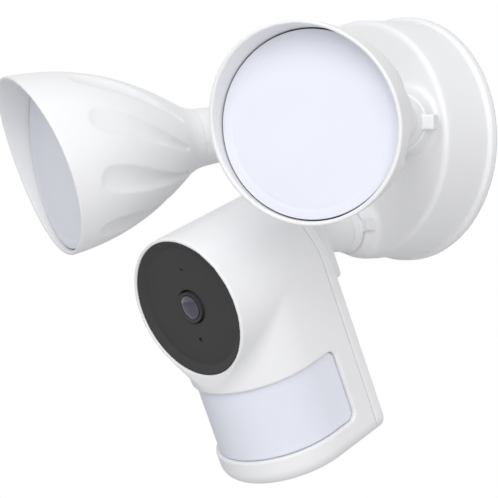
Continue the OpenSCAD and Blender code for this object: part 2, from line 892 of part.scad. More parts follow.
module lens_barrel() {
  color(black) on_face() translate([0, 0, -sensor_board_at]) difference() {
    cylinder(r = lens_r, h = lens_len + lens_proud);
    translate([0, 0, -eps]) cylinder(r = glass_r + fit, h = far);
    translate([0, 0, lens_len + lens_proud - 0.6]) cylinder(r1 = glass_r + fit, r2 = lens_r - 0.9, h = 0.6 + eps);
  }
}

module lens_glass() {
  top = lens_proud + glass_proud - face_sink;
  color("#3a3a58") on_face() intersection() {
    translate([0, 0, top - glass_t]) cylinder(r = glass_r, h = far);
    translate([0, 0, top - glass_dome]) sphere(r = glass_dome);
  }
}

module sensor_board() {
  color(board_green) on_face() translate([0, 0, -sensor_board_at - board_t]) cylinder(r = sensor_board_r, h = board_t);
}

module image_sensor() {
  color(black) on_face() translate([-3.5, -2.5, -sensor_board_at]) cube([7, 5, 1.2]);
}

module infrared_leds() {
  color(black) on_face() for (a = [0:60:300])
    rotate(a) translate([sensor_board_r / 2, 0, -sensor_board_at]) cylinder(r = infrared_r, h = infrared_h);
}

module microphone() {
  color(steel) on_face() translate([0, -hole_down, -sensor_board_at])
    cylinder(r = 2.2, h = lens_len - face_t - fit);
}

module main_board() {
  color(board_green) on_head() box([-main_w / 2, main_mid - main_h / 2, main_at],
    [main_w / 2, main_mid + main_h / 2, main_at + board_t]);
}

module main_chips() {
  color(black) on_head() translate([0, main_mid, main_at + board_t]) {
    box([-0.18 * main_w, 0.02 * main_h, 0], [0.18 * main_w, 0.18 * main_h, chip_t * 2]);
    box([-0.41 * main_w, -0.22 * main_h, 0], [-0.14 * main_w, -0.12 * main_h, chip_t * 2]);
    box([0.09 * main_w, -0.24 * main_h, 0], [0.41 * main_w, -0.1 * main_h, chip_t * 2]);
  }
}

module motion_window() {
  color(pale_blue) intersection() {
    difference() {
      chin_column(window_sink);
      chin_column(window_sink + window_t);
    }
    window_slot(window_gap);
    on_head() box([-far, -far, 1], [far, far, far]);
  }
}

module motion_sensor() {
  mid = (window_top + window_bottom) / 2;
  color(steel) on_head() translate([0, mid, main_at + board_t]) {
    box([-6, -6, 0], [6, 6, 12]);
    cylinder(r = 4.6, h = 17);
  }
}

module speaker() {
  color(black) on_head() translate([0, -head_drop + chin_wall, speaker_f]) rotate([-90, 0, 0]) {
    cylinder(r = speaker_r, h = speaker_t);
    translate([0, 0, speaker_t - eps]) cylinder(r = speaker_r - 5, h = 3);
  }
}

module service_plug() {
  color(white) on_head() translate([0, -head_drop, plug_f]) rotate([90, 0, 0]) {
    intersection() {
      translate([0, 0, plug_t - 9]) sphere(r = 9);
      cylinder(r = plug_r, h = plug_t);
    }
    translate([0, 0, -chin_wall + 0.5]) cylinder(r = plug_stem_r, h = chin_wall);
  }
}

module reset_switch() {
  color(black) on_head() translate([0, chin_floor, plug_f]) rotate([-90, 0, 0]) difference() {
    box([-switch_w / 2, -switch_w / 2, 0], [switch_w / 2, switch_w / 2, switch_t]);
    translate([0, 0, -eps]) cylinder(r = button_r + run, h = button_len + button_travel + 1);
  }
}

module reset_button() {
  color(dark) on_head() translate([0, chin_floor + fit, plug_f]) rotate([-90, 0, 0])
    cylinder(r = button_r, h = button_len);
}

module camera_lead() {
  back = -ball_r * camera_joint + 2;
  front = camera_arm_len + main_at / cos(head_tilt) - lead_r * tan(head_tilt);
  color(black) on_camera() translate([0, 0, back]) cylinder(r = lead_r, h = front - back);
}

module camera_lock_ring() {
  color(white) on_camera() scale(camera_joint) rotate(15) lock_ring_form();
}

module camera_ball_seat() {
  color(nylon) on_camera() scale(camera_joint) ball_seat_form();
}

module camera_ball_liner() {
  color(nylon) on_camera() scale(camera_joint) ball_liner_form();
}

base_gasket();
wall_bracket();
base_housing();
base_lock_screw();
driver_board();
transformer();
capacitors();
terminal_block();
driver_board_screws();
base_leads();
lock_ring(-1);  // left_lock_ring
ball_seat(-1);  // left_ball_seat
ball_liner(-1);  // left_ball_liner
lamp_arm(-1);  // left_lamp_arm
lamp_hood(-1);  // left_lamp_hood
lamp_nut(-1);  // left_lamp_nut
heat_sink(-1);  // left_heat_sink
led_board(-1);  // left_led_board
led_chips(-1);  // left_led_chips
led_screws(-1);  // left_led_screws
diffuser_seal(-1);  // left_diffuser_seal
diffuser(-1);  // left_diffuser
lamp_lead(-1);  // left_lamp_lead
lock_ring(1);  // right_lock_ring
ball_seat(1);  // right_ball_seat
ball_liner(1);  // right_ball_liner
lamp_arm(1);  // right_lamp_arm
lamp_hood(1);  // right_lamp_hood
lamp_nut(1);  // right_lamp_nut
heat_sink(1);  // right_heat_sink
led_board(1);  // right_led_board
led_chips(1);  // right_led_chips
led_screws(1);  // right_led_screws
diffuser_seal(1);  // right_diffuser_seal
diffuser(1);  // right_diffuser
lamp_lead(1);  // right_lamp_lead
camera_lock_ring();
camera_ball_seat();
camera_ball_liner();
camera_arm();
camera_screws();
camera_rear_cover();
camera_shell_seal();
camera_shell();
camera_face();
lens_barrel();
lens_glass();
sensor_board();
image_sensor();
infrared_leds();
microphone();
main_board();
main_chips();
motion_window();
motion_sensor();
speaker();
service_plug();
reset_switch();
reset_button();
camera_lead();
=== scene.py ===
import json
import math

import bpy
import numpy as np
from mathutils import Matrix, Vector


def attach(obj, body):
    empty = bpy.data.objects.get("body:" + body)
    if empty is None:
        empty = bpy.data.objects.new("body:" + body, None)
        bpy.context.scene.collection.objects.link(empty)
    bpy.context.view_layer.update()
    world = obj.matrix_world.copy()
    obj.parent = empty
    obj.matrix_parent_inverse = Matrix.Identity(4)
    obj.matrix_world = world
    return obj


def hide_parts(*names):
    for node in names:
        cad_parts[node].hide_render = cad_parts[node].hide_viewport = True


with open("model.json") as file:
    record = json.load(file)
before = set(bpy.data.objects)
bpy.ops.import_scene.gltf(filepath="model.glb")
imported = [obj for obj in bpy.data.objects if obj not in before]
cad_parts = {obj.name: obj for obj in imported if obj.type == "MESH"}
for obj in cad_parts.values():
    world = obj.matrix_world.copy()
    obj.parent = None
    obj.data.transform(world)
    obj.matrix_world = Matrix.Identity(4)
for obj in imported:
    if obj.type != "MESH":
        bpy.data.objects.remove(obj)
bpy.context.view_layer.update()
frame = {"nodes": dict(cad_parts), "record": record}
nodes = frame["nodes"]
MM = 0.001


# Camera at the photograph's viewing angle, in metres and degrees
CAMERA_AT = (1.1161, -1.1662, 0.0062)
CAMERA_AZIMUTH = 46.8
CAMERA_ELEVATION = 2.32
LENS, SENSOR_W, CLIP_END = 216.9, 36.0, 50.0

view = bpy.data.cameras.new("photo_view")
view.sensor_width = SENSOR_W
view.lens = LENS
view.clip_end = CLIP_END
camera = bpy.data.objects.new("photo_view", view)
camera.location = CAMERA_AT
camera.rotation_euler = (math.radians(90 - CAMERA_ELEVATION), 0, math.radians(CAMERA_AZIMUTH))
bpy.context.scene.collection.objects.link(camera)
bpy.context.scene.camera = camera


# Frames of the pieces: an origin in millimetres and the directions of x, y and z; angles are in radians
BASE_DEPTH = 38.0
BOSS_X, BOSS_Z, BOSS_YAW, BALL_OFF = 37.0, 9.0, math.radians(24), 16.0
RIGHT_YAW, RIGHT_PITCH = math.radians(24.6), math.radians(-0.6)
LEFT_YAW, LEFT_PITCH = math.radians(-22.5), math.radians(-9.7)
CAMERA_BOSS_Z, CAMERA_BALL_OFF, CAMERA_ARM = -48.5, 6.1, 57.5
HEAD_TILT = math.radians(25)
FACE_TILT, FACE_DROP, FACE_AT = math.radians(5), 8.0, 69.0


def unit(v):
    v = np.asarray(v, float)
    return v / np.linalg.norm(v)


def turned(origin, yaw, pitch=0.0):
    """A frame whose z leaves the wall, turned by a yaw and a pitch."""
    z = np.array([math.sin(yaw) * math.cos(pitch), -math.cos(yaw) * math.cos(pitch), math.sin(pitch)])
    x = np.array([math.cos(yaw), math.sin(yaw), 0.0])
    return np.asarray(origin, float), np.stack([x, np.cross(z, x), z])


def ball_at(side):
    """Centre of the ball of the left lamp, for side -1, or of the right lamp, for side 1."""
    out = BASE_DEPTH + BALL_OFF * math.cos(BOSS_YAW)
    return side * (BOSS_X + BALL_OFF * math.sin(BOSS_YAW)), -out, BOSS_Z


CAMERA_BALL = (0.0, -BASE_DEPTH - CAMERA_BALL_OFF, CAMERA_BOSS_Z)
WALL = turned((0, 0, 0), 0)
HEAD = turned((0, CAMERA_BALL[1] - CAMERA_ARM, CAMERA_BOSS_Z), 0, -HEAD_TILT)
LAMPS = {
    "left": turned(ball_at(-1), LEFT_YAW, LEFT_PITCH),
    "right": turned(ball_at(1), RIGHT_YAW, RIGHT_PITCH),
}
RINGS = {
    "left": turned(ball_at(-1), -BOSS_YAW),
    "right": turned(ball_at(1), BOSS_YAW),
    "camera": turned(CAMERA_BALL, 0),
}


def face_frame():
    """The frame of the camera face, tilted up a little from the head."""
    side, up, out = HEAD[1]
    origin = HEAD[0] - FACE_DROP * up + FACE_AT * out
    y = math.cos(FACE_TILT) * up - math.sin(FACE_TILT) * out
    z = math.sin(FACE_TILT) * up + math.cos(FACE_TILT) * out
    return origin, np.stack([side, y, z])


FACE = face_frame()


# Distances: negative inside a solid, in millimetres, with rounded and smooth joins of two fields
def round_in(a, b, r):
    """The overlap of two solids, its edge rounded by r."""
    return np.minimum(-r, np.maximum(a, b)) + np.hypot(np.maximum(a + r, 0), np.maximum(b + r, 0))


def round_join(a, b, r):
    """Both solids, the corner between them filled by r."""
    return np.maximum(r, np.minimum(a, b)) - np.hypot(np.maximum(r - a, 0), np.maximum(r - b, 0))


def soft_join(a, b, k):
    """Both solids, blended over a width k that may vary from point to point."""
    h = np.maximum(k - np.abs(a - b), 0) / np.maximum(k, 1e-6)
    return np.minimum(a, b) - h * h * k / 4


def soft_in(a, b, k):
    """The overlap of two solids, its edge eased over a width k."""
    return -soft_join(-a, -b, k)


def block(p, low, high, r):
    """Distance to a box with edges rounded by r."""
    mid = (np.asarray(low, float) + high) / 2
    half = (np.asarray(high, float) - low) / 2
    q = np.abs(p - mid) - half + r
    return np.linalg.norm(np.maximum(q, 0), axis=-1) + np.minimum(q.max(-1), 0) - r


def round_cone(p, a, b, ra, rb):
    """Distance to two balls and the cone that touches both."""
    ba = b - a
    l2 = ba @ ba
    rr = ra - rb
    a2 = l2 - rr * rr
    pa = p - a
    y = pa @ ba
    z = y - l2
    xv = pa * l2 - y[:, None] * ba
    x2 = (xv * xv).sum(-1)
    y2 = y * y * l2
    z2 = z * z * l2
    k = np.sign(rr) * rr * rr * x2
    out = (np.sqrt(x2 * a2 / l2) + y * rr) / l2 - ra
    far = np.sign(z) * a2 * z2 > k
    near = ~far & (np.sign(y) * a2 * y2 < k)
    out[far] = np.sqrt(x2[far] + z2[far]) / l2 - rb
    out[near] = np.sqrt(x2[near] + y2[near]) / l2 - ra
    return out


# A mesh of the surface where a distance field is zero: a point in each cell that the surface crosses
SLAB = 24
ROUNDS, PROBE, LEAST_SLOPE, LONGEST_MOVE = 4, 0.02, 0.3, 0.4
CORNERS = ((-1, -1), (0, -1), (0, 0), (-1, 0))


def sampled(field, low, n, step):
    """The field at the points of a grid, worked out a slab at a time."""
    axes = [low[i] + step * np.arange(n[i]) for i in range(3)]
    s = np.empty(n)
    for i in range(0, n[0], SLAB):
        grid = np.stack(np.meshgrid(axes[0][i:i + SLAB], axes[1], axes[2], indexing="ij"), -1)
        s[i:i + SLAB] = field(grid.reshape(-1, 3)).reshape(grid.shape[:3])
    return s


def settled(field, verts, step):
    """The points moved along the field's slope, onto the surface."""
    for _ in range(ROUNDS):
        value = field(verts)
        rise = [field(verts + d) - field(verts - d) for d in PROBE * np.eye(3)]
        slope = np.stack(rise, 1) / (2 * PROBE)
        move = -value[:, None] * slope / np.maximum((slope * slope).sum(1), LEAST_SLOPE)[:, None]
        size = np.linalg.norm(move, axis=1)
        verts = verts + move * np.minimum(1, LONGEST_MOVE * step / np.maximum(size, 1e-9))[:, None]
    return verts


def net(field, low, high, step):
    low = np.asarray(low, float)
    n = np.ceil((np.asarray(high, float) - low) / step).astype(int) + 1
    s = sampled(field, low, n, step)
    cells = n - 1
    total = int(cells.prod())
    stride = np.array([cells[1] * cells[2], cells[2], 1])
    points, slots, quads = [], [], []
    for ax in range(3):
        a, b = [slice(None)] * 3, [slice(None)] * 3
        a[ax], b[ax] = slice(0, -1), slice(1, None)
        s0, s1 = s[tuple(a)], s[tuple(b)]
        cross = (s0 < 0) != (s1 < 0)
        at = np.argwhere(cross)
        v0, v1 = s0[cross], s1[cross]
        p = low + at * step
        p[:, ax] += v0 / (v0 - v1) * step
        around = []
        for d1, d2 in CORNERS:
            c = at.copy()
            c[:, (ax + 1) % 3] += d1
            c[:, (ax + 2) % 3] += d2
            ok = ((c >= 0) & (c < cells)).all(1)
            slot = np.where(ok, c @ stride, -1)
            around.append(slot)
            points.append(p[ok])
            slots.append(slot[ok])
        quad = np.stack(around, 1)
        flip = v0 > v1
        quad[flip] = quad[flip][:, ::-1]
        quads.append(quad[(quad >= 0).all(1)])
    points, slots = np.concatenate(points), np.concatenate(slots)
    count = np.bincount(slots, minlength=total)
    used = np.flatnonzero(count)
    verts = np.stack([np.bincount(slots, points[:, i], total)[used] / count[used] for i in range(3)], 1)
    number = np.full(total, -1)
    number[used] = np.arange(len(used))
    return settled(field, verts, step), number[np.concatenate(quads)]


# Turned pieces
SEGMENTS, ON_AXIS = 240, 1e-6


def lathe(outline):
    """A closed outline of radius and height turned round the axis; points on the axis close the ends."""
    ring = np.asarray(outline, float)
    a = np.linspace(0, 2 * np.pi, SEGMENTS, endpoint=False)
    verts, faces, rows = [], [], []
    for r, z in ring:
        start = len(verts)
        if r < ON_AXIS:
            verts.append((0.0, 0.0, z))
            rows.append(np.full(SEGMENTS, start))
        else:
            verts.extend(zip(r * np.cos(a), r * np.sin(a), np.full(SEGMENTS, z)))
            rows.append(start + np.arange(SEGMENTS))
    for i in range(len(ring)):
        after = (i + 1) % len(ring)
        lo, hi = rows[i], rows[after]
        if ring[i][0] < ON_AXIS and ring[after][0] < ON_AXIS:
            continue
        for j in range(SEGMENTS):
            k = (j + 1) % SEGMENTS
            quad = [lo[j], lo[k], hi[k], hi[j]]
            faces.append([v for m, v in enumerate(quad) if v not in quad[:m]])
    return np.array(verts), faces


def bend(c, r, start, end, n):
    """Points of a round stretch of an outline, between two angles in degrees."""
    return [(c[0] + r * math.cos(math.radians(t)), c[1] + r * math.sin(math.radians(t)))
            for t in np.linspace(start, end, n)]


def piece(name, mesh, place, body, slot, stands_for, sharp=None):
    """An object from a mesh in a frame, which rides on a body and replaces nodes of the part."""
    verts, faces = mesh
    origin, axes = place
    world = (origin + np.asarray(verts) @ axes) * MM
    me = bpy.data.meshes.new(name)
    if isinstance(faces, np.ndarray):
        me.vertices.add(len(world))
        me.vertices.foreach_set("co", world.astype(np.float32).ravel())
        me.loops.add(faces.size)
        me.loops.foreach_set("vertex_index", faces.astype(np.int32).ravel())
        me.polygons.add(len(faces))
        me.polygons.foreach_set("loop_start", np.arange(0, faces.size, 4, dtype=np.int32))
    else:
        me.from_pydata(world.tolist(), [], faces)
    me.update(calc_edges=True)
    me.validate()
    me.polygons.foreach_set("use_smooth", np.ones(len(me.polygons), bool))
    if sharp:
        me.set_sharp_from_angle(angle=math.radians(sharp))
    ob = bpy.data.objects.new(name, me)
    bpy.context.scene.collection.objects.link(ob)
    me.materials.append(materials[slot])
    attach(ob, body)
    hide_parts(*stands_for)


# Materials
FINE_DETAIL, BROAD_DETAIL, BROAD_SHARE = 3.0, 4.0, 60
TINT_FROM, TINT_TO = 0.3, 0.7
GRAIN_HEIGHT = 0.0002


def material(name, color, rough, metal=0.0, grain=2200.0, bump=0.03, vary=0.04, tint=0.02, **sockets):
    """A surface with a fine moulded grain as bump, whose roughness and colour vary a little."""
    m = bpy.data.materials.new(name)
    m.use_nodes = True
    tree = m.node_tree
    shader = tree.nodes["Principled BSDF"]
    shader.inputs["Metallic"].default_value = metal
    for key, value in sockets.items():
        shader.inputs[key.replace("_", " ")].default_value = value
    where = tree.nodes.new("ShaderNodeTexCoord")

    def noise(scale, detail):
        t = tree.nodes.new("ShaderNodeTexNoise")
        t.inputs["Scale"].default_value = scale
        t.inputs["Detail"].default_value = detail
        tree.links.new(where.outputs["Object"], t.inputs["Vector"])
        return t

    fine, broad = noise(grain, FINE_DETAIL), noise(grain / BROAD_SHARE, BROAD_DETAIL)
    spread = tree.nodes.new("ShaderNodeMapRange")
    spread.inputs["To Min"].default_value = max(rough - vary, 0.02)
    spread.inputs["To Max"].default_value = min(rough + vary, 1.0)
    tree.links.new(broad.outputs["Fac"], spread.inputs["Value"])
    tree.links.new(spread.outputs["Result"], shader.inputs["Roughness"])
    ramp = tree.nodes.new("ShaderNodeValToRGB")
    dark, light = ramp.color_ramp.elements
    dark.position = TINT_FROM
    light.position = TINT_TO
    dark.color = (*[c * (1 - tint) for c in color], 1)
    light.color = (*[min(c * (1 + tint), 1) for c in color], 1)
    tree.links.new(broad.outputs["Fac"], ramp.inputs["Fac"])
    tree.links.new(ramp.outputs["Color"], shader.inputs["Base Color"])
    relief = tree.nodes.new("ShaderNodeBump")
    relief.inputs["Strength"].default_value = bump
    relief.inputs["Distance"].default_value = GRAIN_HEIGHT
    tree.links.new(fine.outputs["Fac"], relief.inputs["Height"])
    tree.links.new(relief.outputs["Normal"], shader.inputs["Normal"])
    return m


materials = {
    "white_plastic": material("white_plastic", (0.80, 0.80, 0.81), 0.42, bump=0.05, tint=0.008),
    "nylon": material("nylon", (0.66, 0.66, 0.60), 0.5),
    "diffuser_plastic": material("diffuser_plastic", (0.735, 0.75, 0.83), 0.38, bump=0.04, tint=0.008),
    "dark_plastic": material("dark_plastic", (0.046, 0.046, 0.047), 0.5, bump=0.06, tint=0.04,
                             Specular_IOR_Level=0.15),
    "black_rubber": material("black_rubber", (0.048, 0.048, 0.05), 0.7, bump=0.15, tint=0.1),
    "grey_rubber": material("grey_rubber", (0.10, 0.10, 0.105), 0.85, grain=1400.0, bump=0.6, tint=0.15),
    "white_rubber": material("white_rubber", (0.72, 0.72, 0.73), 0.6, bump=0.12),
    "zinc_steel": material("zinc_steel", (0.60, 0.61, 0.63), 0.32, 1.0, grain=900.0, bump=0.08, vary=0.1,
                           tint=0.08),
    "sink_aluminium": material("sink_aluminium", (0.66, 0.67, 0.68), 0.45, 1.0, bump=0.12, tint=0.05),
    "green_board": material("green_board", (0.020, 0.13, 0.05), 0.35, grain=800.0, tint=0.2),
    "white_board": material("white_board", (0.74, 0.74, 0.72), 0.4),
    "led_phosphor": material("led_phosphor", (0.75, 0.56, 0.10), 0.35),
    "winding": material("winding", (0.55, 0.36, 0.07), 0.45, grain=500.0, bump=0.1, tint=0.1),
    "black_parts": material("black_parts", (0.034, 0.034, 0.036), 0.5, bump=0.1, tint=0.1,
                            Specular_IOR_Level=0.25),
    "lens_glass": material("lens_glass", (0.040, 0.037, 0.058), 0.08, bump=0.0, vary=0.02, tint=0.2,
                           IOR=1.5, Coat_Weight=0.6, Coat_Roughness=0.05, Coat_Tint=(0.90, 0.88, 1.0, 1.0)),
}


# The part's own solids: a material, and smooth shading up to an angle
WELD_AT, SPLIT_AT = 2e-6, math.radians(32)

slot_of = {s["node"]: s["material_slot"] for s in frame["record"]["subparts"]}
for name, ob in nodes.items():
    ob.data.materials.clear()
    ob.data.materials.append(materials[slot_of[name]])
    ob.data.polygons.foreach_set("use_smooth", np.ones(len(ob.data.polygons), bool))
    weld = ob.modifiers.new("weld", "WELD")
    weld.merge_threshold = WELD_AT
    split = ob.modifiers.new("split", "EDGE_SPLIT")
    split.split_angle = SPLIT_AT


# How far a cut or the root of a post runs past the face that it meets
OVER = 1.0


# Base housing
FLANGE_R, FLANGE_TOP, FLANGE_EDGE_R, FLANGE_FILLET_R = 65.0, 6.0, 0.6, 1.2
DRUM_BACK, DRUM_FRONT, DRUM_EDGE_R = 63.0, 62.6, 3.0
GASKET, WALL_T, INNER_EDGE_R = 1.5, 3.0, 0.4
DRUM_IN = DRUM_FRONT - WALL_T
FRONT_IN = BASE_DEPTH - WALL_T
HOUSING_LOW, HOUSING_HIGH, HOUSING_STEP = (-66.2, -66.2, 0.6), (66.2, 66.2, 64.5), 0.9

# Bosses for the ball joints; the camera's joint is the lamps' joint on a smaller scale
SOCKET_R, SPIGOT_R, SPIGOT_LEN = 11.0, 12.5, 3.5
SOCKET_GAP, LEAD_BORE_R = 0.2, 4.6
BOSS_FOOT_R, BOSS_TIP_R, BOSS_ROOT, BOSS_LEAN = 18.0, 15.0, 9.0, 0.98
BOSS_TIP_GAP, BOSS_EDGE_R, BOSS_FILLET_R = 0.2, 0.5, 3.0
BOSS_CLIP, BOSS_CLIP_R = 0.6, 1.0
LAMP_BOSS_LEN, CAMERA_BOSS_LEN, CAMERA_JOINT = 18.0, 7.7, 0.8
BOSSES = (
    ((-BOSS_X, BOSS_Z, BASE_DEPTH), -BOSS_YAW, LAMP_BOSS_LEN, BALL_OFF, 1.0),
    ((BOSS_X, BOSS_Z, BASE_DEPTH), BOSS_YAW, LAMP_BOSS_LEN, BALL_OFF, 1.0),
    ((0, CAMERA_BOSS_Z, BASE_DEPTH), 0, CAMERA_BOSS_LEN, CAMERA_BALL_OFF, CAMERA_JOINT),
)

# Posts of the driver board, and the way of the lock screw through the drum's wall
POST_X, POST_Y, POST_UP, POST_R, POST_END = 34, 17, 2, 3.2, 22
PILOT_R, PILOT_END = 1.45, 32
LOCK_TURN, LOCK_Z, LOCK_R, LOCK_IN = math.radians(24), 16, 1.68, 50
LOCK_HEAD_R, LOCK_SEAT = 3.4, 3


def boss(p, at, yaw, length, off, k):
    """Distances to a boss, to its spigot and to the hollow in it."""
    axis = np.array([math.sin(yaw), 0, math.cos(yaw)])
    q = p - np.array(at, float)
    s = q @ axis
    r = np.linalg.norm(q - s[:, None] * axis, axis=1)
    foot, tip = BOSS_FOOT_R * k, BOSS_TIP_R * k
    cone = (r - (foot + (tip - foot) * s / length)) * BOSS_LEAN
    solid = np.maximum(round_in(cone, s - length + BOSS_TIP_GAP, BOSS_EDGE_R), -s - BOSS_ROOT)
    spigot = np.maximum(r - SPIGOT_R * k, np.maximum(s - length - SPIGOT_LEN * k, -s))
    socket = np.hypot(r, s - off) - SOCKET_R * k
    mouth = np.maximum(r - (SOCKET_R + SOCKET_GAP) * k, off - s)
    bore = np.maximum(r - LEAD_BORE_R * k, s - off)
    return solid, spigot, np.minimum(np.minimum(socket, mouth), bore)


def lock_way(p):
    """The hole of the lock screw, and the wider one for its head."""
    u = p[:, 0] * math.cos(LOCK_TURN) - p[:, 1] * math.sin(LOCK_TURN)
    v = p[:, 0] * math.sin(LOCK_TURN) + p[:, 1] * math.cos(LOCK_TURN)
    r = np.hypot(u, p[:, 2] - LOCK_Z)
    hole = np.maximum(r - LOCK_R, v + LOCK_IN)
    return np.minimum(hole, np.maximum(r - LOCK_HEAD_R, v + DRUM_IN + LOCK_SEAT))


def board_post(p, x, y):
    r = np.hypot(p[:, 0] - x, p[:, 1] - POST_UP - y)
    z = p[:, 2]
    post = np.maximum(np.maximum(r - POST_R, POST_END - z), z - FRONT_IN - OVER)
    return np.maximum(post, -np.maximum(r - PILOT_R, z - PILOT_END))


def housing(p):
    q = np.hypot(p[:, 0], p[:, 1])
    z = p[:, 2]
    flange = round_in(q - FLANGE_R, z - FLANGE_TOP, FLANGE_EDGE_R)
    taper = (DRUM_FRONT - DRUM_BACK) * (z - FLANGE_TOP) / (BASE_DEPTH - FLANGE_TOP)
    drum = round_in(q - (DRUM_BACK + taper), z - BASE_DEPTH, DRUM_EDGE_R)
    body = round_join(flange, drum, FLANGE_FILLET_R)
    spigots, hollows = np.inf, np.inf
    for place in BOSSES:
        solid, spigot, hollow = boss(p, *place)
        solid = round_in(solid, q - DRUM_FRONT + BOSS_CLIP, BOSS_CLIP_R)
        body = round_join(body, solid, BOSS_FILLET_R)
        spigots = np.minimum(spigots, spigot)
        hollows = np.minimum(hollows, hollow)
    inside = np.maximum(q - DRUM_IN, z - FRONT_IN)
    body = np.minimum(round_in(body, -inside, INNER_EDGE_R), spigots)
    for x in (-POST_X, POST_X):
        for y in (-POST_Y, POST_Y):
            body = np.minimum(body, board_post(p, x, y))
    body = np.maximum(body, -lock_way(p))
    return np.maximum(np.maximum(body, -hollows), GASKET - z)


piece("base_housing_shell", net(housing, HOUSING_LOW, HOUSING_HIGH, HOUSING_STEP), WALL, "base",
      "white_plastic", ["base_housing"])


# Lamp hoods: a bell from the neck to a slanted rim, with a short collar over the arm's end
ARM_LEN, ARM_R, ARM_TAPER = 55.0, 15.9, 0.0585
COLLAR, COLLAR_SKIN, COLLAR_T, COLLAR_FILLET_R = 5.4, 0.1, 1.8, 3.0
NECK_STEP, RIM_R, HOOD_TOP, HOOD_BOTTOM, HOOD_POWER = 0.5, 49.2, 93.0, 74.5, 2.3
NECK_R = ARM_R + NECK_STEP
HOOD_WALL, FLOOR_T, NIPPLE_BORE_R = 5.0, 5.0, 6.08
RIM_CURVE, RIM_EDGE_R, RIM_WALL = 500.0, 0.9, 3.4
RIM_DROP = -(HOOD_TOP - HOOD_BOTTOM) * RIM_CURVE / (2 * RIM_R)
RIM_LOW = HOOD_BOTTOM - (RIM_R + RIM_DROP) ** 2 / (2 * RIM_CURVE)
POCKET_R, POCKET_AT, POCKET_EDGE_R, POCKET_LEDGE = RIM_R - RIM_WALL, 68.0, 0.6, 4
POCKET_FLARE, POCKET_DEPTH = 1.8, 27
HOOD_LOW, HOOD_HIGH, HOOD_STEP = (-50.4, -50.4, -6.6), (50.4, 50.4, 94.8), 0.85

# Flutes: each ball of the cutter has a place along the hood, a radius, a depth and a turn in degrees
FLUTES, FLUTE_EDGE = 9, 0.4
FLUTE_BALLS = (
    (57.5, 20.0, 1.7, -2.5),
    (43.0, 12.0, 2.5, -8.5),
    (31.0, 7.0, 2.4, -15.5),
    (19.0, 2.9, 1.9, -25.0),
    (8.0, 1.4, 1.0, -38.0),
)


def hood_at(t):
    """The bell's radius at a distance t from the neck."""
    return NECK_R + (RIM_R - NECK_R) * (1 - (1 - np.clip(t, 0, HOOD_TOP) / HOOD_TOP) ** HOOD_POWER)


def hood_slope(t):
    steep = (RIM_R - NECK_R) * HOOD_POWER / HOOD_TOP
    return steep * (1 - np.clip(t, 0, HOOD_TOP) / HOOD_TOP) ** (HOOD_POWER - 1)


def flute_point(t, r, depth, turn):
    """Centre of a ball of radius r that cuts into the bell by a depth."""
    normal = unit([1, 0, -hood_slope(t)])
    q, _, z = np.array([hood_at(t), 0, t]) + (r - depth) * normal
    a = math.radians(turn)
    return np.array([q * math.cos(a), q * math.sin(a), z])


def flute_field(p):
    """Distance to the nearest flute's cutter: balls joined by cones, swept round towards the neck."""
    turn = 2 * np.pi / FLUTES
    balls = np.array(FLUTE_BALLS)
    sweep = np.radians(np.interp(p[:, 2], balls[::-1, 0], balls[::-1, 3]))
    a = np.arctan2(p[:, 1], p[:, 0]) + np.pi / 2 - sweep
    a = (a + turn / 2) % turn - turn / 2 + sweep
    q = np.hypot(p[:, 0], p[:, 1])
    local = np.stack([q * np.cos(a), q * np.sin(a), p[:, 2]], 1)
    out = np.inf
    for front, rear in zip(balls[:-1], balls[1:]):
        out = np.minimum(out, round_cone(local, flute_point(*front), flute_point(*rear), front[1], rear[1]))
    return out


def hood(p):
    q = np.hypot(p[:, 0], p[:, 1])
    t = p[:, 2]
    lean = 1 / np.sqrt(1 + hood_slope(t) ** 2)
    bell = (q - hood_at(t) - np.minimum(t, 0) * hood_slope(0)) * lean
    collar = q - ARM_R - ARM_TAPER * np.minimum(t, 0) - COLLAR_SKIN
    outside = np.maximum(round_join(bell, collar, COLLAR_FILLET_R), -t - COLLAR)
    outside = soft_in(outside, -flute_field(p), FLUTE_EDGE)
    cut = RIM_CURVE - np.hypot(p[:, 1] - RIM_DROP, t - RIM_LOW - RIM_CURVE)
    body = round_in(outside, cut, RIM_EDGE_R)
    pocket_r = POCKET_R + POCKET_FLARE * (t - POCKET_AT) / POCKET_DEPTH
    body = round_in(body, -np.maximum(q - pocket_r, POCKET_AT - t), POCKET_EDGE_R)
    hollow = np.maximum(np.maximum((q - hood_at(t) + HOOD_WALL) * lean, q - POCKET_R + POCKET_LEDGE),
                        np.maximum(FLOOR_T - t, t - POCKET_AT - OVER))
    nipple = np.maximum(q - NIPPLE_BORE_R, t - FLOOR_T - OVER)
    arm = np.maximum(q - ARM_R + COLLAR_T, t)
    return np.maximum(np.maximum(body, -hollow), -np.minimum(nipple, arm))


# Diffusers, with a faint trough near the edge and a lip over the seal
DIFFUSER_AT, DIFFUSER_T, PANE_T, FOOT_W = 72.6, 3.4, 1.6, 6
SEAL_W, SEAL_FOOT, SEAL_FOOT_W, SEAL_CLEAR = 1.3, 1.2, 3.5, 0.1
LIP_T, LIP_GAP, LIP_EDGE_R, LIP_FLAT = 1.3, 0.45, 0.4, 2
BACK_R, LIP_R = POCKET_R - SEAL_W - SEAL_CLEAR, POCKET_R - LIP_GAP
CROWN, MID_HEIGHT, SHOULDER_HEIGHT, SHOULDER_IN = 0.25, 0.2, 0.1, 2.4
TROUGH_IN, TROUGH_HALF, TROUGH_TOP, TROUGH_SINK = 5, 1.8, 0.06, 0.07
TROUGH_POINTS, EDGE_POINTS, EDGE_FROM = 13, 7, 88
SHARP = 50


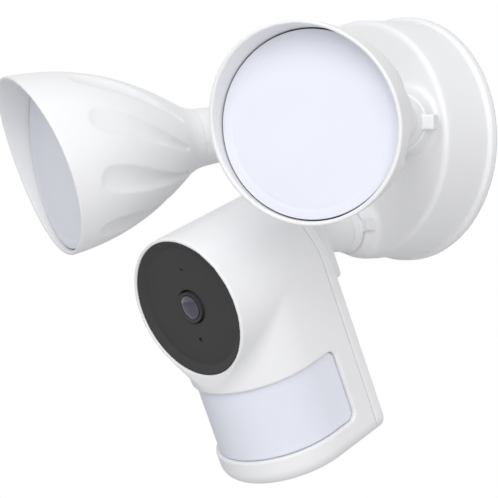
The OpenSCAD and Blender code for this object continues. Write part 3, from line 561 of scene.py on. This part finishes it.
def diffuser_outline():
    trough = LIP_R - TROUGH_IN
    front = [(0, CROWN), (trough * 0.5, MID_HEIGHT), (trough - SHOULDER_IN, SHOULDER_HEIGHT)]
    front += [(trough + x, TROUGH_TOP - TROUGH_SINK * (1 + math.cos(math.pi * x / TROUGH_HALF)))
              for x in np.linspace(-TROUGH_HALF, TROUGH_HALF, TROUGH_POINTS)]
    front += [(LIP_R - LIP_FLAT, 0.0)]
    front += bend((LIP_R - LIP_EDGE_R, -LIP_EDGE_R), LIP_EDGE_R, EDGE_FROM, 0, EDGE_POINTS)
    foot = BACK_R - FOOT_W
    back = [(BACK_R, -DIFFUSER_T), (foot, -DIFFUSER_T), (foot, -PANE_T), (0, -PANE_T)]
    return front + [(LIP_R, -LIP_T), (BACK_R, -LIP_T)] + back


def seal_outline():
    top = DIFFUSER_AT - POCKET_AT - LIP_T
    inner, foot = POCKET_R - SEAL_W, POCKET_R - SEAL_FOOT_W
    return [(foot, 0), (POCKET_R, 0), (POCKET_R, top), (inner, top), (inner, SEAL_FOOT), (foot, SEAL_FOOT)]


hood_mesh = net(hood, HOOD_LOW, HOOD_HIGH, HOOD_STEP)
seal_mesh = lathe(seal_outline())
diffuser_mesh = lathe(diffuser_outline())
for side, (origin, axes) in LAMPS.items():
    neck = (origin + ARM_LEN * axes[2], axes)
    piece(f"{side}_fluted_hood", hood_mesh, neck, f"{side}_lamp", "white_plastic", [f"{side}_lamp_hood"])
    front = (origin + (ARM_LEN + DIFFUSER_AT) * axes[2], axes)
    piece(f"{side}_frosted_diffuser", diffuser_mesh, front, f"{side}_lamp", "diffuser_plastic",
          [f"{side}_diffuser"], SHARP)
    pocket = (origin + (ARM_LEN + POCKET_AT) * axes[2], axes)
    piece(f"{side}_diffuser_gasket", seal_mesh, pocket, f"{side}_lamp", "black_rubber",
          [f"{side}_diffuser_seal"], SHARP)


# Lock rings, each with a finger tab on a lug
RING_R, RING_FRONT_R, RING_T, RING_LEAN = 14.2, 13.2, 7.5, 0.99
RING_BACK, RING_GAP, RING_OPENING = 2.0, 1.1, math.radians(52)
RING_FACE_R = math.hypot(RING_FRONT_R, RING_BACK + RING_T)
RING_FRONT_EDGE_R, RING_BACK_EDGE_R = 0.5, 0.4
SLEEVE_T, THREAD_GAP, THREAD_END = 0.6, 0.08, 5.7
LUG_W, LUG_T, LUG_REACH, LUG_LIFT, LUG_BACK = 8.0, 2.2, 5.6, 3.0, 5.5
LUG_ROOT, LUG_EDGE_R, LUG_FILLET_R = 9, 1.0, 0.8
RING_LOW, RING_HIGH, RING_STEP = (-16.4, -16.4, -4.6), (21.2, 16.4, 10.8), 0.45
RING_TURNS = {"left": (math.pi, 1.0), "right": (0.0, 1.0), "camera": (math.radians(15), CAMERA_JOINT)}


def lug_field(p):
    far = (RING_R + LUG_REACH, LUG_W / 2, RING_BACK + LUG_T)
    lug = block(p, (LUG_ROOT, -LUG_W / 2, RING_BACK), far, LUG_EDGE_R)
    tab = block(p, (RING_R + LUG_LIFT, -LUG_W / 2, RING_BACK - LUG_BACK), far, LUG_EDGE_R)
    return np.minimum(lug, tab)


def ring_field(p):
    r = np.hypot(p[:, 0], p[:, 1])
    s = p[:, 2]
    low = RING_BACK + RING_GAP
    flank = (r - (RING_R + (RING_FRONT_R - RING_R) * (s - low) / (RING_T - RING_GAP))) * RING_LEAN
    body = round_in(flank, np.hypot(r, s) - RING_FACE_R, RING_FRONT_EDGE_R)
    body = round_in(body, low - s, RING_BACK_EDGE_R)
    sleeve = np.maximum(np.maximum(r - SPIGOT_R - SLEEVE_T, RING_BACK - s), s - low - OVER)
    body = round_join(np.minimum(body, sleeve), lug_field(p), LUG_FILLET_R)
    bore = np.maximum(r - SPIGOT_R - THREAD_GAP, s - THREAD_END)
    mouth = r * math.cos(RING_OPENING) - s * math.sin(RING_OPENING)
    return np.maximum(body, -np.minimum(np.minimum(bore, mouth), np.hypot(r, s) - SOCKET_R))


def spun(mesh, a, k):
    """A mesh turned about its z by an angle a and scaled by k."""
    turn = np.array([[math.cos(a), math.sin(a), 0], [-math.sin(a), math.cos(a), 0], [0, 0, 1]])
    return k * mesh[0] @ turn, mesh[1]


ring_mesh = net(ring_field, RING_LOW, RING_HIGH, RING_STEP)
for side, (turn, k) in RING_TURNS.items():
    piece(f"{side}_lock_ring_moulding", spun(ring_mesh, turn, k), RINGS[side], f"{side}_ring",
          "white_plastic", [f"{side}_lock_ring"])


# Camera head: a barrel round the face and a chin below it; x runs across, h up and f forward
HEAD_R, CHIN_F, HEAD_DROP, CHIN_TOP = 38.0, 34.0, 110.0, -12.0
CHIN_EDGE_R, HEAD_BLEND, HEAD_EDGE_R = 8.0, 13.0, 0.9
HEAD_RIM, RECESS, RECESS_EDGE_R = 1.7, 5.2, 0.45
FACE_R = HEAD_R - HEAD_RIM
REAR_T, SEAL_GAP, SEAL_IN, SEAL_LIP = 6.0, 0.8, 1.2, 0.2
BARREL_WALL, CHIN_WALL = 2.4, 5.5
FRONT_WALL, FACE_WALL, SHELF = 12, 8, 6
LEDGE_R, LEDGE_DEPTH = 27, 40
WINDOW_TOP, WINDOW_BOTTOM, WINDOW_BACK, WINDOW_CORNER = -55.0, -95.0, 18.0, 5.0
WINDOW_SINK, WINDOW_T, WINDOW_GAP, WINDOW_EDGE_R = 2.0, 1.7, 0.2, 0.7
SIGHT_INSET, SIGHT_BACK = 4.0, 14
PLUG_F, PLUG_BORE_R = 56.0, 4.08
SPEAKER_F, SPEAKER_PITCH, SPEAKER_R = 26.0, 6, 1.0


def to_face(p):
    """Height and distance in front of the face's frame, from points in the head's frame."""
    h, f = p[:, 1] + FACE_DROP, p[:, 2] - FACE_AT
    return (h * math.cos(FACE_TILT) - f * math.sin(FACE_TILT),
            h * math.sin(FACE_TILT) + f * math.cos(FACE_TILT))


def chin_plan(p):
    return np.hypot(p[:, 0], np.maximum(p[:, 2] - CHIN_F, 0)) - HEAD_R


def head_outside(p):
    """The barrel and the chin, with the hollow curve between them where they meet at an angle."""
    y, z = to_face(p)
    rb = np.maximum(np.hypot(p[:, 0], y), 1e-6)
    front = np.maximum(p[:, 2] - CHIN_F, 0)
    rc = np.maximum(np.hypot(p[:, 0], front), 1e-6)
    alike = p[:, 0] ** 2 / (rb * rc) - y / rb * math.sin(FACE_TILT) * front / rc
    chin = round_in(rc - HEAD_R, -HEAD_DROP - p[:, 1], CHIN_EDGE_R)
    chin = np.maximum(chin, p[:, 1] - CHIN_TOP)
    both = soft_join(rb - HEAD_R, chin, HEAD_BLEND * np.clip(1 - alike, 0, 1))
    return round_in(both, z, HEAD_EDGE_R)


def slot_plan(p, inset=0.0):
    """The window's opening as seen from the side, made smaller by an inset."""
    c = WINDOW_CORNER - inset
    a = WINDOW_BACK + inset - p[:, 2] + c
    b = np.abs(p[:, 1] - (WINDOW_TOP + WINDOW_BOTTOM) / 2) - (WINDOW_TOP - WINDOW_BOTTOM) / 2 + inset + c
    return np.hypot(np.maximum(a, 0), np.maximum(b, 0)) + np.minimum(np.maximum(a, b), 0) - c


def head_hollow(p):
    """The room inside the barrel and the chin, and the ways to the window and the lens."""
    y, z = to_face(p)
    x, h, f = p.T
    rb = np.hypot(x, y)
    behind = f - FACE_AT + FRONT_WALL
    barrel = np.maximum(rb - HEAD_R + BARREL_WALL, np.minimum(behind, z + FACE_WALL))
    chin = np.maximum(np.maximum(chin_plan(p) + CHIN_WALL, -HEAD_DROP + CHIN_WALL - h), h - CHIN_TOP)
    chin = np.maximum(chin, np.minimum(behind, h + FACE_DROP + HEAD_R + SHELF))
    sight = np.maximum(slot_plan(p, SIGHT_INSET), CHIN_F - SIGHT_BACK - f)
    lens_way = np.maximum(rb - LEDGE_R, -z - LEDGE_DEPTH)
    return np.minimum(np.minimum(barrel, chin), np.minimum(sight, lens_way))


def floor_holes(p):
    """The plug's hole and the speaker's nine holes, through the floor of the chin."""
    x, h, f = p.T
    out = np.hypot(x, f - PLUG_F) - PLUG_BORE_R
    for sx in (-SPEAKER_PITCH, 0, SPEAKER_PITCH):
        for sf in (-SPEAKER_PITCH, 0, SPEAKER_PITCH):
            out = np.minimum(out, np.hypot(x - sx, f - SPEAKER_F - sf) - SPEAKER_R)
    return np.maximum(out, h + HEAD_DROP - CHIN_WALL - OVER)


def shell(p):
    y, z = to_face(p)
    f = p[:, 2]
    outside = head_outside(p)
    recess = np.maximum(np.hypot(p[:, 0], y) - FACE_R, -z - RECESS)
    body = round_in(outside, -recess, RECESS_EDGE_R)
    seat = np.maximum(slot_plan(p), -chin_plan(p) - WINDOW_SINK - WINDOW_T - WINDOW_GAP)
    body = round_in(body, -seat, WINDOW_EDGE_R)
    body = np.maximum(body, -np.minimum(head_hollow(p), floor_holes(p)))
    groove = np.maximum(outside + SEAL_IN, f - REAR_T - SEAL_GAP)
    return np.maximum(round_in(body, REAR_T + SEAL_LIP - f, SEAL_LIP), -groove)


# Rear cover, with the hollow pad that carries the arm
REAR_EDGE_R, REAR_LIP_R = 1.2, 0.3
PAD_LOW, PAD_HIGH, PAD_EDGE_R, PAD_FILLET_R = (-20, -33, -19.5), (20, 14, 3), 2.2, 1.5
PAD_HOLLOW_LOW, PAD_HOLLOW_HIGH, PAD_HOLLOW_R = (-16, -29, -15.5), (16, 10, 9), 0.5
REAR_SPOTS = ((-30, -20), (30, -20), (-30, -98), (30, -98))
REAR_SCREW_R, REAR_HEAD_R, REAR_HEAD_T = 1.48, 3.0, 2.2
BOARD_SPOTS = ((-17, 8), (-17, -80), (17, 8), (17, -80))
BOARD_POST_R, BOARD_POST_FROM, BOARD_POST_TO = 3, 3, 20
LEAD_HOLE_R, LEAD_HOLE_IN = 2.5, 10


def rear_cover(p):
    x, h, f = p.T
    slab = round_in(round_in(head_outside(p), -f, REAR_EDGE_R), f - REAR_T, REAR_LIP_R)
    body = round_join(slab, block(p, PAD_LOW, PAD_HIGH, PAD_EDGE_R), PAD_FILLET_R)
    body = np.maximum(body, -block(p, PAD_HOLLOW_LOW, PAD_HOLLOW_HIGH, PAD_HOLLOW_R))
    for sx, sh in REAR_SPOTS:
        r = np.hypot(x - sx, h - sh)
        body = np.maximum(body, -np.minimum(np.maximum(r - REAR_HEAD_R, f - REAR_HEAD_T), r - REAR_SCREW_R))
    for sx, sh in BOARD_SPOTS:
        r = np.hypot(x - sx, h - sh)
        post = np.maximum(np.maximum(r - BOARD_POST_R, f - BOARD_POST_TO), BOARD_POST_FROM - f)
        body = np.minimum(body, post)
    lead = np.hypot(x, (h + f * math.tan(HEAD_TILT)) * math.cos(HEAD_TILT)) - LEAD_HOLE_R
    return np.maximum(body, -np.maximum(lead, f + LEAD_HOLE_IN))


# Motion window, a bent sheet in its opening
SHEET_INSET, SHEET_FACE_R, SHEET_EDGE_R = 0.3, 0.3, 0.5


def window(p):
    chin = chin_plan(p)
    sheet = round_in(chin + WINDOW_SINK, -chin - WINDOW_SINK - WINDOW_T, SHEET_FACE_R)
    return round_in(sheet, slot_plan(p, SHEET_INSET), SHEET_EDGE_R)


SHELL_LOW, SHELL_HIGH = (-39.2, -111.2, 5.6), (39.2, 33.2, 73.6)
REAR_LOW, REAR_HIGH, HEAD_STEP = (-39.2, -111.2, -20.6), (39.2, 33.2, 21.0), 0.75
WINDOW_LOW, WINDOW_HIGH, WINDOW_STEP = (-37.4, -96.2, 16.8), (37.4, -53.8, 71.4), 0.7
piece("camera_shell_moulding", net(shell, SHELL_LOW, SHELL_HIGH, HEAD_STEP), HEAD, "camera_head",
      "white_plastic", ["camera_shell"])
piece("camera_rear_moulding", net(rear_cover, REAR_LOW, REAR_HIGH, HEAD_STEP), HEAD, "camera_head",
      "white_plastic", ["camera_rear_cover"])
piece("motion_window_lens", net(window, WINDOW_LOW, WINDOW_HIGH, WINDOW_STEP), HEAD, "camera_head",
      "diffuser_plastic", ["motion_window"])


# Dark face with its sloped edge, the lens hole and two small holes
FACE_GAP, FACE_SINK, FACE_T, FACE_TOP, FACE_EDGE_R = 0.2, 3.0, 2.0, 0.6, 0.4
FACE_EDGE = FACE_R - FACE_GAP
BEVEL_IN, BEVEL_W, BEVEL_H, BEVEL_LEAN, BEVEL_EDGE_R = 4.5, 3.9, 2.4, 0.52, 0.35
LENS_R, LENS_GAP, LENS_EDGE_R = 8.2, 0.6, 0.9
FACE_HOLES = ((20, 0.8), (-18, 1.2))
FACE_LOW, FACE_HIGH, FACE_STEP = (-36.9, -36.9, -5.6), (36.9, 36.9, 0.2), 0.45


def face(p):
    r = np.hypot(p[:, 0], p[:, 1])
    z = p[:, 2]
    plate = round_in(np.maximum(r - FACE_EDGE, -z - FACE_SINK - FACE_T), z + FACE_TOP, FACE_EDGE_R)
    slope = (r - (FACE_EDGE - BEVEL_IN + BEVEL_W * (z + FACE_SINK) / BEVEL_H)) * BEVEL_LEAN
    plate = round_in(plate, -np.maximum(slope, -z - FACE_SINK), BEVEL_EDGE_R)
    plate = round_in(plate, LENS_R + LENS_GAP - r, LENS_EDGE_R)
    for up, hole_r in FACE_HOLES:
        plate = np.maximum(plate, hole_r - np.hypot(p[:, 0], p[:, 1] - up))
    return plate


piece("camera_face_plate", net(face, FACE_LOW, FACE_HIGH, FACE_STEP), FACE, "camera_head",
      "dark_plastic", ["camera_face"])


# Floor, in metres
FLOOR_R, FLOOR_Z, FLOOR_SIDES = 3, -0.62, 96

floor_mesh = bpy.data.meshes.new("studio_floor")
round_floor = [(FLOOR_R * math.cos(t), FLOOR_R * math.sin(t), FLOOR_Z)
               for t in np.linspace(0, 2 * math.pi, FLOOR_SIDES, endpoint=False)]
floor_mesh.from_pydata(round_floor, [], [list(range(FLOOR_SIDES))])
floor = bpy.data.objects.new("studio_floor", floor_mesh)
bpy.context.scene.collection.objects.link(floor)
floor_paint = material("studio_floor", (0.76, 0.76, 0.77), 0.9, grain=40.0, bump=0.0, tint=0.005)
floor_mesh.materials.append(floor_paint)


# World: white where the camera, a reflection or glass sees it, and dimmer as a light
AMBIENT = 0.53

world = bpy.data.worlds.new("studio")
bpy.context.scene.world = world
world.use_nodes = True
tree = world.node_tree
back = tree.nodes["Background"]
path = tree.nodes.new("ShaderNodeLightPath")
seen = path.outputs["Is Camera Ray"]
for ray in ("Is Glossy Ray", "Is Transmission Ray"):
    either = tree.nodes.new("ShaderNodeMath")
    either.operation = "MAXIMUM"
    tree.links.new(seen, either.inputs[0])
    tree.links.new(path.outputs[ray], either.inputs[1])
    seen = either.outputs[0]
level = tree.nodes.new("ShaderNodeMapRange")
level.inputs["To Min"].default_value = AMBIENT
level.inputs["To Max"].default_value = 1.0
tree.links.new(seen, level.inputs["Value"])
tree.links.new(level.outputs["Result"], back.inputs["Strength"])
back.inputs["Color"].default_value = (1, 1, 1, 1)


# Lamps: round soft lights aimed at the object, in metres and watts
AIM = Vector((0, -0.08, 0))


def lamp(name, at, size, watts, color=(1, 1, 1)):
    light = bpy.data.lights.new(name, "AREA")
    light.shape = "DISK"
    light.size = size
    light.energy = watts
    light.color = color
    ob = bpy.data.objects.new(name, light)
    ob.location = at
    ob.rotation_euler = (AIM - Vector(at)).to_track_quat("-Z", "Y").to_euler()
    bpy.context.scene.collection.objects.link(ob)


lamp("front", (0.75, -1.65, 0.95), size=1.4, watts=13.5)
lamp("side", (1.75, -1.15, 0.45), size=1.6, watts=14.0)
lamp("top", (0.25, -0.5, 2.1), size=1.4, watts=8.0, color=(0.86, 0.93, 1.0))

bpy.context.scene.view_settings.view_transform = "Standard"
